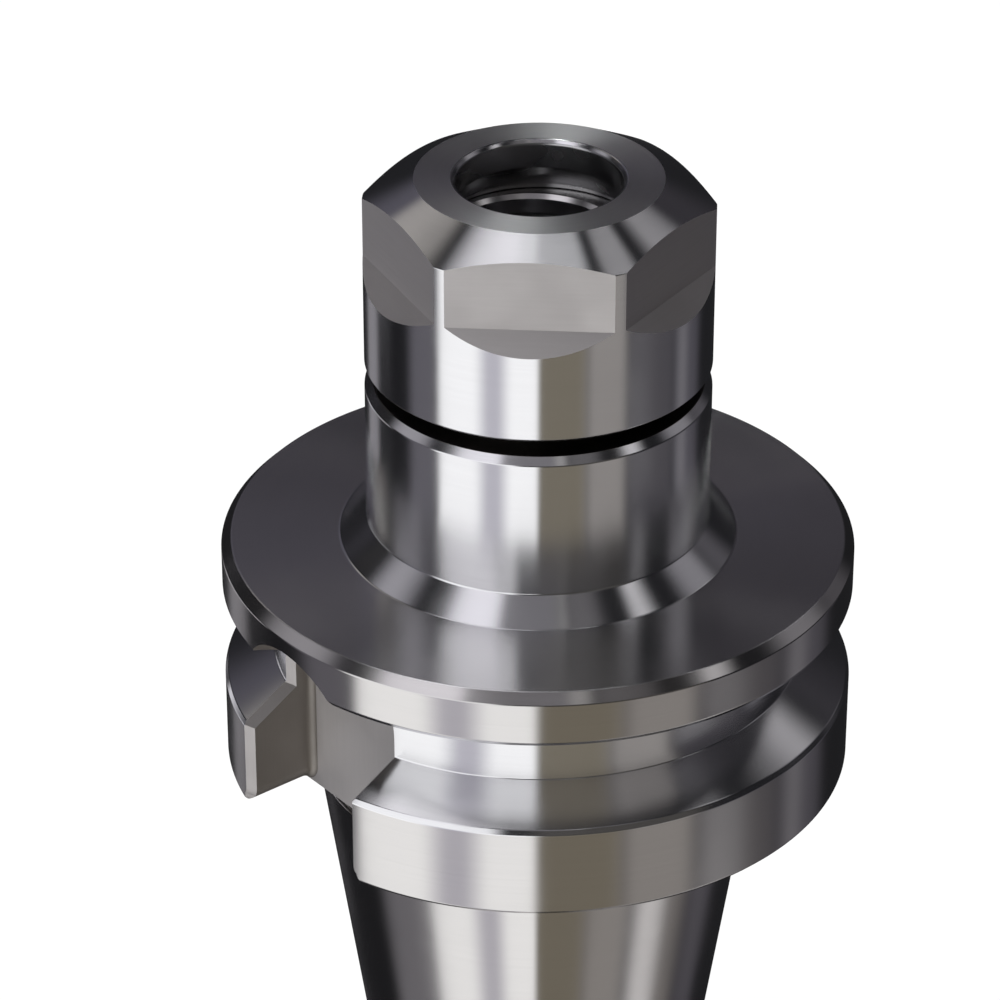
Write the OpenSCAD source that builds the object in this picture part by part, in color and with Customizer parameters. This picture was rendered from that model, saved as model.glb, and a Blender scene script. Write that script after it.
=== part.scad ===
// Collet chuck holder with a 7:24 taper shank, a flange with a gripper groove and two drive
// slots, and a nose that takes a spring collet under a hexagon clamping nut.
// Origin: on the axis, in the gauge plane of the taper. +Z runs towards the nut.

/* [Taper shank] */
// Diameter of the taper in its gauge plane
gauge_d = 44.45; // [42:0.05:48]
// Length of the taper from the gauge plane to its small end
taper_len = 65.4; // [58:0.1:76]
// Chamfer round the small end
tail_chamfer = 0.6; // [0.3:0.1:1]
// Distance from the gauge plane to the flange
flange_gap = 2; // [1.6:0.1:3.2]
// Diameter of the relief between taper and flange
relief_d = 44; // [40:0.1:44.2]
// Length of that relief
relief_len = 1; // [0.5:0.1:1.4]

/* [Flange] */
// Diameter of the flange
flange_d = 63; // [60:0.5:70]
// Height of the rim below the gripper groove
lower_rim_h = 9.6; // [8:0.1:12]
// Height of the rim above the gripper groove
upper_rim_h = 5.4; // [4.6:0.1:8]
// Width of the gripper groove where it meets the rims
groove_w = 10; // [9:0.1:11]
// Diameter of the gripper groove's floor
groove_floor_d = 53; // [51:0.1:55]
// Slope of each side of the gripper groove
groove_side_angle = 30; // [26:1:34]
// Chamfer round the top of the upper rim
rim_top_chamfer = 1; // [0.4:0.1:1.6]
// Broken edges beside the gripper groove
rim_edge = 0.3; // [0.1:0.05:0.5]
// Chamfer round the bottom of the lower rim
rim_bottom_chamfer = 0.5; // [0.2:0.1:1]

/* [Drive slots] */
// Width of each drive slot
slot_w = 16.1; // [14:0.1:18]
// Distance from the axis to the floor of each slot
slot_floor = 22.5; // [22.3:0.1:24]
// How far the round end of each slot reaches into the upper rim
slot_bite = 2.95; // [1.5:0.05:4]
// Radius between the floor and the walls of each slot
slot_corner_r = 0.8; // [0.4:0.1:1.5]
// Lead-in radius where the walls meet the flange's lower face
slot_lead_r = 2; // [1:0.1:3]
// Bevel along the outer edges of the slot walls
slot_bevel = 0.6; // [0.2:0.1:1]

/* [Nose] */
// Diameter of the cone where it meets the flange
cone_base_d = 39.4; // [37:0.1:42]
// Height of that cone
cone_h = 2.4; // [1:0.1:4]
// Diameter of the nose behind the nut
nose_d = 34; // [32:0.1:36]
// Height of the shoulder above the flange
shoulder_h = 17.3; // [12:0.1:60]
// Chamfer round the shoulder
shoulder_chamfer = 0.75; // [0.3:0.05:1.5]
// Length of the threaded nose above the shoulder
nose_len = 12.9; // [12:0.1:16]
// Length of the undercut at the foot of the thread
undercut_len = 2.2; // [1.5:0.1:3]
// Chamfer round the end of the nose
nose_chamfer = 0.8; // [0.4:0.1:1.1]

/* [Nose thread] */
// Nominal diameter of the nose thread
thread_d = 25; // [24.5:0.1:26]
// Pitch of the nose thread
thread_pitch = 1.5; // [1:0.25:2]
// Radial clearance between the threads of nose and nut
thread_fit = 0.05; // [0.02:0.01:0.1]

/* [Bores] */
// Diameter of the collet seat at its mouth
seat_d = 21; // [20:0.1:21.4]
// Slope of the collet seat
seat_angle = 8; // [7.5:0.25:9]
// Broken edge round the mouth of the collet seat
seat_edge = 0.3; // [0.1:0.05:0.4]
// Diameter of the through bore behind the collet seat
tool_bore_d = 13.5; // [12:0.1:13.8]
// Tapping diameter of the pull stud thread
stud_tap_d = 14; // [13.9:0.1:15]
// Depth of the pull stud thread below its pilot
stud_thread_len = 30; // [20:0.5:34]
// Diameter of the pull stud pilot
stud_pilot_d = 17; // [16:0.1:18]
// Depth of the pull stud pilot
stud_pilot_len = 8; // [6:0.1:12]
// Chamfer round the pull stud pilot
stud_entry = 1; // [0.4:0.1:1.6]

/* [Clamping nut] */
// Outer diameter of the nut
nut_d = 34; // [33:0.1:36]
// Height of the nut
nut_h = 19.6; // [18.5:0.1:22]
// Distance across the wrench flats
nut_flats = 30; // [29:0.1:32]
// Depth of the wrench flats below the front face
flats_h = 8.6; // [6:0.1:11]
// Slope at which the flats run out into the round
flats_runout = 45; // [35:1:60]
// Diameter of the flat front face
face_d = 24; // [21:0.1:27]
// Slope of the front chamfer
front_angle = 27.5; // [20:0.5:35]
// Direction that one wrench flat faces when the nut is screwed down
nut_turn = 47.2; // [0:0.1:60]
// Diameter of the mouth
mouth_d = 16; // [14:0.1:16.6]
// Length of the mouth's straight wall
mouth_len = 2.9; // [2:0.1:3.4]
// Slope of the cone that presses on the collet
press_angle = 30; // [28:1:32]
// Length of that cone
press_len = 2.4; // [1.5:0.1:3]
// Diameter of the recess for the collet's collar
collar_d = 20; // [19.6:0.1:20.8]
// Length of the recess for the collet's collar
collar_len = 0.75; // [0.5:0.05:1.2]
// Length of the lead-in bore at the back of the nut
lead_len = 1; // [0.5:0.1:2]
// Chamfer round the back of the nut
nut_back_chamfer = 0.35; // [0.1:0.05:0.8]
// Broken edge round the mouth
mouth_edge = 0.25; // [0.1:0.05:0.5]

/* [Eccentric ring] */
// Diameter of the ring's off-centre hole
ring_bore_d = 16.8; // [16:0.1:17.6]
// How far the hole lies off the axis
ring_offset = 0.8; // [0.4:0.1:1.2]
// Direction in which the hole lies off the axis
ring_turn = 140.5; // [0:0.5:360]
// Thickness of the ring
ring_h = 2.3; // [1.8:0.1:2.6]
// Diameter of the groove that holds the ring in the nut
ring_groove_d = 24.7; // [24.5:0.1:26.5]
// Radial clearance of the ring in its groove
ring_fit = 0.08; // [0.04:0.01:0.1]
// Clearance above and below the ring in its groove
ring_float = 0.05; // [0.02:0.01:0.1]
// Width of the ring's slit
ring_slit = 4; // [2:0.1:6]
// Chamfer at both ends of the ring's hole
ring_chamfer = 0.4; // [0.2:0.05:0.7]
// Gap between the ring and the nose end with the nut screwed down
ring_gap = 0.1; // [0.05:0.01:0.3]

/* [Hidden] */
$fn = 144;

// Radius lost for each unit of length on a 7:24 taper
TAPER_SLOPE = 7 / 48;
// Depth from the nominal diameter of a thread to its pitch line, as a share of the pitch
PITCH_LINE = 0.3248;
// Height of a thread's working profile, as a share of the pitch
THREAD_DEPTH = 0.6134;
// Length by which cutting shapes reach past what they cut
PAST = 1;

gauge_r = gauge_d / 2;
tail_r = gauge_r - taper_len * TAPER_SLOPE;
flange_r = flange_d / 2;
groove_floor_r = groove_floor_d / 2;
groove_side = (flange_r - groove_floor_r) * tan(groove_side_angle);

flange_z = flange_gap;
groove_z = flange_z + lower_rim_h;
upper_rim_z = groove_z + groove_w;
flange_top_z = upper_rim_z + upper_rim_h;
shoulder_z = flange_top_z + shoulder_h;
nose_z = shoulder_z + nose_len;

// The thread is a plain cylinder at its pitch line
thread_r = thread_d / 2 - PITCH_LINE * thread_pitch;
thread_root_r = thread_d / 2 - THREAD_DEPTH * thread_pitch;

seat_r = seat_d / 2;
tool_bore_r = tool_bore_d / 2;
seat_len = (seat_r - tool_bore_r) / tan(seat_angle);
stud_pilot_z = stud_pilot_len - taper_len;
stud_thread_z = stud_pilot_z + stud_thread_len;

slot_r = slot_w / 2;
slot_end_z = upper_rim_z + slot_bite - slot_r;

ring_z = nose_z + ring_gap;
ring_groove_h = ring_h + 2 * ring_float;
ring_groove_z = ring_z - ring_float;
collar_z = ring_groove_z + ring_groove_h;
press_z = collar_z + collar_len;
mouth_z = press_z + press_len;
nut_top_z = mouth_z + mouth_len;
nut_z = nut_top_z - nut_h;
nut_r = nut_d / 2;
nut_bore_r = thread_r + thread_fit;
nut_lead_r = thread_d / 2 + 4 * thread_fit;
mouth_r = mouth_d / 2;
press_r = mouth_r + press_len * tan(press_angle);
front_h = (nut_r - face_d / 2) * tan(front_angle);

// Distance along X at which a round of this radius meets a slot wall
function wall_x(r) = sqrt(r * r - slot_r * slot_r);

// Outline of the holder from the axis outwards, small end first
function holder_outline() = [
    [0, -taper_len],
    [tail_r - tail_chamfer, -taper_len],
    [tail_r + tail_chamfer * TAPER_SLOPE, tail_chamfer - taper_len],
    [gauge_r + (flange_z - relief_len) * TAPER_SLOPE, flange_z - relief_len],
    [relief_d / 2, flange_z - relief_len],
    [relief_d / 2, flange_z],
    [flange_r - rim_bottom_chamfer, flange_z],
    [flange_r, flange_z + rim_bottom_chamfer],
    [flange_r, groove_z - rim_edge],
    [flange_r - rim_edge, groove_z + rim_edge * tan(groove_side_angle)],
    [groove_floor_r, groove_z + groove_side],
    [groove_floor_r, upper_rim_z - groove_side],
    [flange_r - rim_edge, upper_rim_z - rim_edge * tan(groove_side_angle)],
    [flange_r, upper_rim_z + rim_edge],
    [flange_r, flange_top_z - rim_top_chamfer],
    [flange_r - rim_top_chamfer, flange_top_z],
    [cone_base_d / 2, flange_top_z],
    [nose_d / 2, flange_top_z + cone_h],
    [nose_d / 2, shoulder_z - shoulder_chamfer],
    [nose_d / 2 - shoulder_chamfer, shoulder_z],
    [thread_root_r, shoulder_z],
    [thread_root_r, shoulder_z + undercut_len],
    [thread_r, shoulder_z + undercut_len + thread_r - thread_root_r],
    [thread_r, nose_z - nose_chamfer],
    [thread_r - nose_chamfer, nose_z],
    [0, nose_z]
];

// Outline of everything bored out of the holder, small end first
function bore_outline() = [
    [0, -taper_len - PAST],
    [stud_pilot_d / 2 + stud_entry, -taper_len - PAST],
    [stud_pilot_d / 2 + stud_entry, -taper_len],
    [stud_pilot_d / 2, stud_entry - taper_len],
    [stud_pilot_d / 2, stud_pilot_z],
    [stud_tap_d / 2, stud_pilot_z],
    [stud_tap_d / 2, stud_thread_z],
    [tool_bore_r, stud_thread_z],
    [tool_bore_r, nose_z - seat_len],
    [seat_r - seat_edge * tan(seat_angle), nose_z - seat_edge],
    [seat_r + seat_edge, nose_z],
    [seat_r + seat_edge, nose_z + PAST],
    [0, nose_z + PAST]
];

// Half of the shape that the slot cutter leaves: across the slot, and out from its floor
module slot_section() {
    round_x = slot_r - slot_corner_r;
    translate([0, slot_floor])
        square([round_x, flange_r]);
    translate([0, slot_floor + slot_corner_r])
        square([slot_r, flange_r]);
    translate([round_x, slot_floor + slot_corner_r])
        circle(slot_corner_r);
}

// Corner that a lead-in radius takes off, between a wall and the flange's lower face
module lead_corner() {
    difference() {
        translate([-PAST, -PAST])
            square(slot_lead_r + PAST);
        translate([slot_lead_r, slot_lead_r])
            circle(slot_lead_r);
    }
}

// Cutting shape of a bevel along a slot wall's edge, from one point of it to the next
module wall_bevel(from, to, before, after) {
    run = to - from;
    translate([from.x, slot_r, from.y])
        rotate([0, atan2(run.x, run.y), 0])
            translate([0, 0, -before])
                linear_extrude(norm(run) + before + after)
                    polygon([
                        [-slot_bevel - PAST, -PAST],
                        [PAST, slot_bevel + PAST],
                        [PAST, -PAST]
                    ]);
}

// One drive slot, cut from the side of +X
module drive_slot() {
    translate([0, 0, slot_end_z])
        rotate([0, 90, 0])
            rotate_extrude()
                slot_section();
    for (side = [0, 1])
        mirror([0, side, 0]) {
            translate([0, 0, flange_z - relief_len])
                linear_extrude(slot_end_z - flange_z + relief_len)
                    rotate(-90)
                        mirror([1, 0, 0])
                            slot_section();
            translate([slot_floor, slot_r, flange_z])
                rotate([90, 0, 90])
                    linear_extrude(flange_r)
                        lead_corner();
            wall_bevels();
        }
}

// Bevels on the rim, the groove's side and the groove's floor, up to the slot's round end
module wall_bevels() {
    rim_x = wall_x(flange_r);
    floor_x = wall_x(groove_floor_r);
    mitre = slot_bevel * tan((90 - groove_side_angle) / 2);
    rim_foot = [rim_x, flange_z];
    rim_head = [rim_x, groove_z];
    floor_foot = [floor_x, groove_z + groove_side];
    floor_head = [floor_x, slot_end_z];
    wall_bevel(rim_foot, rim_head, PAST, mitre);
    wall_bevel(rim_head, floor_foot, mitre, mitre);
    wall_bevel(floor_foot, floor_head, mitre, 0);
}

module holder_body() {
    color("silver")
        difference() {
            rotate_extrude()
                polygon(holder_outline());
            rotate_extrude()
                polygon(bore_outline());
            for (turn = [0, 180])
                rotate(turn)
                    drive_slot();
        }
}

// Outline of the nut before its flats are milled, back first
function nut_outline() = [
    [0, nut_z],
    [nut_r - nut_back_chamfer, nut_z],
    [nut_r, nut_z + nut_back_chamfer],
    [nut_r, nut_top_z - front_h],
    [face_d / 2, nut_top_z],
    [0, nut_top_z]
];

// Outline of the nut's inside, back first
function nut_bore_outline() = [
    [0, nut_z - PAST],
    [nut_lead_r, nut_z - PAST],
    [nut_lead_r, nut_z + lead_len],
    [nut_bore_r, nut_z + lead_len + nut_lead_r - nut_bore_r],
    [nut_bore_r, ring_groove_z],
    [ring_groove_d / 2, ring_groove_z],
    [ring_groove_d / 2, collar_z],
    [collar_d / 2, collar_z],
    [collar_d / 2, press_z],
    [press_r, press_z],
    [mouth_r, mouth_z],
    [mouth_r, nut_top_z - mouth_edge],
    [mouth_r + mouth_edge, nut_top_z],
    [mouth_r + mouth_edge, nut_top_z + PAST],
    [0, nut_top_z + PAST]
];

// What the milling of one wrench flat takes away, on the side of +X
module flat_cut() {
    flat_z = nut_top_z - flats_h;
    out = nut_r + PAST - nut_flats / 2;
    rotate([90, 0, 0])
        linear_extrude(2 * nut_r, center = true)
            translate([nut_flats / 2, flat_z])
                polygon([
                    [0, 0],
                    [out, -out * tan(flats_runout)],
                    [out, flats_h + PAST],
                    [0, flats_h + PAST]
                ]);
}

module clamping_nut() {
    color("lightgray")
        difference() {
            rotate_extrude()
                polygon(nut_outline());
            rotate_extrude()
                polygon(nut_bore_outline());
            for (flat = [0 : 5])
                rotate(nut_turn + 60 * flat)
                    flat_cut();
        }
}

// Outline of the ring's hole, from its lower to its upper side
function ring_hole_outline() = [
    [0, -PAST],
    [ring_bore_d / 2 + ring_chamfer, -PAST],
    [ring_bore_d / 2 + ring_chamfer, 0],
    [ring_bore_d / 2, ring_chamfer],
    [ring_bore_d / 2, ring_h - ring_chamfer],
    [ring_bore_d / 2 + ring_chamfer, ring_h],
    [ring_bore_d / 2 + ring_chamfer, ring_h + PAST],
    [0, ring_h + PAST]
];

module eccentric_ring() {
    ring_r = ring_groove_d / 2 - ring_fit;
    color("gray")
        translate([0, 0, ring_z])
            rotate(ring_turn)
                difference() {
                    cylinder(h = ring_h, r = ring_r);
                    translate([ring_offset, 0, 0])
                        rotate_extrude()
                            polygon(ring_hole_outline());
                    translate([-ring_slit / 2, 0, -PAST])
                        cube([ring_slit, ring_r + PAST, ring_h + 2 * PAST]);
                }
}

holder_body();
clamping_nut();
eccentric_ring();
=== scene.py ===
"""Looks of a collet chuck holder: ground, turned and milled steel in a plain white studio."""

import math

import bmesh
import bpy
from bpy.props import FloatProperty, FloatVectorProperty, PointerProperty
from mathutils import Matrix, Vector


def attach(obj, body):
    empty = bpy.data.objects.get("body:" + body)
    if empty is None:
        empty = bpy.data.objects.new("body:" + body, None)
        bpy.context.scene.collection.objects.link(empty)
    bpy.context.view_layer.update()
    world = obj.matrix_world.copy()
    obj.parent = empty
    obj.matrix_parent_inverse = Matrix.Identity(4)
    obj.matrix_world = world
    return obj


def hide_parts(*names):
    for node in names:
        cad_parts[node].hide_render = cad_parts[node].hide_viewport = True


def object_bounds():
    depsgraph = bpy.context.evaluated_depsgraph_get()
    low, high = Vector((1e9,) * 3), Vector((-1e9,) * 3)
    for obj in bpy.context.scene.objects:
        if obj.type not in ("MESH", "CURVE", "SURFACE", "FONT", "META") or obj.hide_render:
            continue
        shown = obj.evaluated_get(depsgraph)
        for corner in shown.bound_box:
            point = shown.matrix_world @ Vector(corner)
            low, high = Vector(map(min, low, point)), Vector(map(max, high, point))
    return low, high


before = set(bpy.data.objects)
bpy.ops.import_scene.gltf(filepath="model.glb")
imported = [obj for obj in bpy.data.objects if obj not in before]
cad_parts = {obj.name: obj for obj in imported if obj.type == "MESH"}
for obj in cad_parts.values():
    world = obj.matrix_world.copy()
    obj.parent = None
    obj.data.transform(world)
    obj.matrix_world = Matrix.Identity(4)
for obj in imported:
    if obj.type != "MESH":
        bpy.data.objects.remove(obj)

bl_info = {
    "name": "Collet chuck holder",
    "version": (1, 0, 0),
    "blender": (4, 5, 0),
    "location": "View3D > Sidebar > Chuck",
    "description": "Dresses the packed chuck holder in steel and sets up its studio",
    "category": "Object",
}

CAD_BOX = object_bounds()
MM = 0.001
# Number of flat strips that make one turned surface
STRIPS = 288
# Points that lie nearer to each other than this are one point
MERGE = 0.0004 * MM
# How far a cutter reaches past the surface that it cuts
PAST = 1 * MM
# Size of the patches in which steel is a little duller or brighter
PATCH = 25 / 3 * MM


def linear(hex_colour):
    """An sRGB hex colour as linear red, green, blue and alpha."""
    parts = [int(hex_colour[i:i + 2], 16) / 255 for i in (1, 3, 5)]
    return (*[p / 12.92 if p <= 0.04045 else ((p + 0.055) / 1.055) ** 2.4 for p in parts], 1.0)


def length(name, millimetres, description):
    """A size that a user may change."""
    return FloatProperty(
        name=name, description=description, default=millimetres * MM, unit="LENGTH", precision=5)


def angle(name, degrees, description):
    """An angle that a user may change."""
    return FloatProperty(
        name=name, description=description, default=math.radians(degrees), subtype="ANGLE")


def colour(name, hex_colour, description):
    """A colour that a user may change."""
    return FloatVectorProperty(
        name=name, description=description, default=linear(hex_colour), subtype="COLOR",
        size=4, min=0, max=1)


class HolderSizes(bpy.types.PropertyGroup):
    """Sizes of the holder's body. Heights count from the taper's gauge plane."""
    tail_radius: length("Tail radius", 12.6875, "Radius of the taper at its small end")
    tail_height: length("Tail height", -65.4, "Height of the small end")
    gauge_radius: length("Gauge radius", 22.225, "Radius of the taper in its gauge plane")
    relief_radius: length("Relief radius", 22, "Radius of the relief between taper and flange")
    relief_length: length("Relief length", 1, "Length of that relief")
    flange_height: length("Flange height", 2, "Height of the flange's lower face")
    flange_radius: length("Flange radius", 31.5, "Radius of the flange")
    flange_chamfer: length("Lower rim chamfer", 0.5, "Chamfer under the lower rim")
    lower_rim: length("Lower rim", 9.6, "Height of the rim below the gripper groove")
    upper_rim: length("Upper rim", 5.4, "Height of the rim above the gripper groove")
    rim_chamfer: length("Upper rim chamfer", 1, "Chamfer on top of the upper rim")
    groove_width: length("Groove width", 10, "Width of the gripper groove at the rims")
    groove_radius: length("Groove radius", 26.5, "Radius of the gripper groove's floor")
    groove_slope: angle("Groove slope", 30, "Slope of the gripper groove's sides")
    cone_radius: length("Cone radius", 19.7, "Radius of the cone where it meets the flange")
    cone_height: length("Cone height", 2.4, "Height of the cone at the foot of the nose")
    nose_radius: length("Nose radius", 17, "Radius of the nose behind the nut")
    shoulder: length("Shoulder", 17.3, "Height of the shoulder above the flange")
    shoulder_chamfer: length("Shoulder chamfer", 0.75, "Chamfer round the shoulder")
    thread_length: length("Threaded nose", 12.9, "Length of the threaded nose above the shoulder")
    thread_root: length("Thread root", 11.58, "Radius at the root of the nose thread")
    seat_radius: length("Seat radius", 10.5, "Radius of the collet seat at its mouth")
    seat_slope: angle("Seat slope", 8, "Slope of the collet seat")
    bore_radius: length("Bore radius", 6.75, "Radius of the through bore")
    stud_root: length("Stud thread root", 8, "Radius at the root of the pull stud thread")
    stud_length: length("Stud thread length", 30, "Length of the pull stud thread")
    pilot_radius: length("Pilot radius", 8.5, "Radius of the pull stud pilot")
    pilot_length: length("Pilot length", 8, "Length of the pull stud pilot")
    pilot_chamfer: length("Pilot chamfer", 1, "Chamfer round the pull stud pilot")


class SlotSizes(bpy.types.PropertyGroup):
    """Sizes of the two drive slots in the flange."""
    width: length("Width", 16.1, "Width of each slot")
    floor: length("Floor", 22.5, "Distance from the axis to a slot's floor")
    end_height: length("End height", 16.5, "Height of the middle of a slot's round end")
    corner: length("Corner radius", 0.8, "Radius between a slot's floor and walls")
    lead: length("Lead-in radius", 2, "Radius where the walls meet the flange's lower face")
    bevel: length("Bevel", 0.95, "Bevel along the outer edges of the walls")


class NutSizes(bpy.types.PropertyGroup):
    """Sizes of the clamping nut."""
    bottom: length("Bottom", 46.1, "Height of the nut's back")
    top: length("Top", 65.7, "Height of the nut's front face")
    radius: length("Radius", 17, "Outer radius of the nut")
    flat_distance: length("Flat distance", 15, "Distance from the axis to a wrench flat")
    flat_depth: length("Flat depth", 8.6, "Depth of the wrench flats below the front face")
    flat_turn: angle("Flat direction", 47.2, "Direction that one wrench flat faces")
    face_radius: length("Face radius", 12, "Radius of the flat front face")
    face_slope: angle("Front slope", 27.5, "Slope of the front chamfer")
    mouth_radius: length("Mouth radius", 8, "Radius of the mouth")
    mouth_length: length("Mouth length", 2.9, "Length of the mouth's straight wall")
    press_length: length("Press cone", 2.4, "Length of the cone that presses on the collet")
    press_slope: angle("Press slope", 30, "Slope of the cone that presses on the collet")
    collar_radius: length("Collar radius", 10, "Radius of the recess for the collet's collar")
    collar_length: length("Collar length", 0.75, "Length of the recess for the collet's collar")
    groove_radius: length("Groove radius", 12.35, "Radius of the groove that holds the ring")
    groove_length: length("Groove length", 2.4, "Length of the groove that holds the ring")
    thread_root: length("Thread root", 12.55, "Radius at the root of the nut's thread")
    lead_radius: length("Lead-in radius", 12.7, "Radius of the lead-in at the back")
    lead_length: length("Lead-in length", 1, "Length of the lead-in at the back")


class RingSizes(bpy.types.PropertyGroup):
    """Sizes of the eccentric ring."""
    bottom: length("Bottom", 57.3, "Height of the ring's lower side")
    thickness: length("Thickness", 2.3, "Thickness of the ring")
    radius: length("Radius", 12.27, "Outer radius of the ring")
    hole_radius: length("Hole radius", 8.4, "Radius of the off-centre hole")
    offset: length("Offset", 0.8, "How far the hole lies off the axis")
    turn: angle("Turn", 140.5, "Direction in which the hole lies off the axis")
    slit: length("Slit", 4, "Width of the ring's slit")
    chamfer: length("Chamfer", 0.4, "Chamfer at both ends of the hole")


class SteelColours(bpy.types.PropertyGroup):
    """Colours of the steel finishes."""
    ground: colour("Ground steel", "#DADADC", "Steel after cylindrical grinding")
    hard: colour("Hardened steel", "#CAC8C7", "Steel ground after it was hardened")
    faced: colour("Faced steel", "#E0DFE0", "Steel after facing on the lathe")
    milled: colour("Milled steel", "#D6D3D2", "Steel after milling")
    # The slot walls' colour is painted shade: darker than the milled steel, for the shade in the
    # slots
    wall: colour("Slot wall steel", "#9A958F", "Steel of the drive slots' walls")
    bored: colour("Bored steel", "#B0B0B2", "Steel inside the bores")
    # The threads' colour is painted shade: dark for the gap under the nut and inside the bores
    threaded: colour("Threaded steel", "#5E5B58", "Steel of the threads")
    ring: colour("Ring steel", "#CCCACA", "Steel of the eccentric ring")


class StudioSizes(bpy.types.PropertyGroup):
    """Camera and studio."""
    camera: FloatVectorProperty(
        name="Camera", description="Place of the camera",
        default=(-0.2500, -0.3033, 0.2582), unit="LENGTH", precision=5)
    aim: FloatVectorProperty(
        name="Aim", description="Point that the camera looks at",
        default=(-0.00006, 0.00590, 0.02745), unit="LENGTH", precision=5)
    lens: FloatProperty(name="Lens", description="Focal length in millimetres", default=164.94)
    front: angle("Front", 230.5, "Direction from which the studio's front light comes")
    level: FloatProperty(name="Level", description="Strength of the softboxes", default=1.35)
    floor: colour("Floor", "#F2F2F2", "Colour of the floor")


def add(tree, kind, inputs=None, **settings):
    """Adds a node, applies its settings, and fills or links its inputs."""
    node = tree.nodes.new(kind)
    for name, value in settings.items():
        setattr(node, name, value)
    for socket, value in (inputs or {}).items():
        if isinstance(value, bpy.types.NodeSocket):
            tree.links.new(value, node.inputs[socket])
        else:
            node.inputs[socket].default_value = value
    return node


def steel(name, tint, roughness, anisotropy, lines, depth, lay="round"):
    """A steel whose tool marks are lines apart and depth deep, and lie round, level or upright."""
    if name in bpy.data.materials:
        return bpy.data.materials[name]
    material = bpy.data.materials.new(name)
    material.use_nodes = True
    tree = material.node_tree
    shader = tree.nodes["Principled BSDF"]
    place = add(tree, "ShaderNodeTexCoord").outputs["Object"]
    part = add(tree, "ShaderNodeSeparateXYZ", {0: place}).outputs
    if lay == "round":
        # The marks follow the spoke's direction, the height and the distance from the axis, so
        # that they run round on every turned face
        flat = add(tree, "ShaderNodeCombineXYZ", {0: part["X"], 1: part["Y"]}).outputs[0]
        far = add(tree, "ShaderNodeVectorMath", {0: flat}, operation="LENGTH").outputs["Value"]
        spoke = add(tree, "ShaderNodeVectorMath", {0: flat}, operation="NORMALIZE").outputs[0]
        out = add(tree, "ShaderNodeSeparateXYZ", {0: spoke}).outputs
        up = add(tree, "ShaderNodeMath", {0: part["Z"], 1: 1 / lines}, operation="MULTIPLY")
        wide = add(tree, "ShaderNodeMath", {0: far, 1: 1 / lines}, operation="MULTIPLY")
        where = add(tree, "ShaderNodeCombineXYZ", {0: out["X"], 1: out["Y"], 2: up.outputs[0]})
        marks = add(
            tree, "ShaderNodeTexNoise",
            {"Vector": where.outputs[0], "W": wide.outputs[0], "Scale": 1.0, "Detail": 2.0},
            noise_dimensions="4D").outputs["Fac"]
        around = add(
            tree, "ShaderNodeVectorMath", {0: (0, 0, 1), 1: place}, operation="CROSS_PRODUCT")
        tree.links.new(around.outputs[0], shader.inputs["Tangent"])
        shader.inputs["Anisotropic Rotation"].default_value = 0.25
    else:
        # Milled marks are 25 times as long as they are wide
        long, short = 0.04 / lines, 1 / lines
        scale = (long, long, short) if lay == "level" else (short, short, long)
        where = add(tree, "ShaderNodeMapping", {"Vector": place, "Scale": scale})
        marks = add(
            tree, "ShaderNodeTexNoise",
            {"Vector": where.outputs[0], "Scale": 1.0, "Detail": 3.0}).outputs["Fac"]
        tree.links.new(
            add(tree, "ShaderNodeTangent", direction_type="RADIAL", axis="Z").outputs[0],
            shader.inputs["Tangent"])
        shader.inputs["Anisotropic Rotation"].default_value = 0.25 if lay == "level" else 0.0
    # Wear and oil make patches a little duller or brighter, and the marks a little darker
    cloud = add(
        tree, "ShaderNodeTexNoise",
        {"Vector": place, "Scale": 1 / PATCH, "Detail": 3.0}).outputs["Fac"]
    dull = add(
        tree, "ShaderNodeMapRange",
        {"Value": cloud, "From Min": 0.3, "From Max": 0.7,
         "To Min": roughness * 0.88, "To Max": roughness * 1.12})
    shade = add(
        tree, "ShaderNodeMix",
        {"Factor": marks, 6: [c * 0.93 for c in tint[:3]] + [1.0], 7: list(tint)},
        data_type="RGBA")
    bump = add(tree, "ShaderNodeBump", {"Height": marks, "Strength": 1.0, "Distance": depth})
    tree.links.new(shade.outputs[2], shader.inputs["Base Color"])
    tree.links.new(dull.outputs[0], shader.inputs["Roughness"])
    tree.links.new(bump.outputs[0], shader.inputs["Normal"])
    shader.inputs["Metallic"].default_value = 1.0
    shader.inputs["Anisotropic"].default_value = anisotropy
    return material


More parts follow.
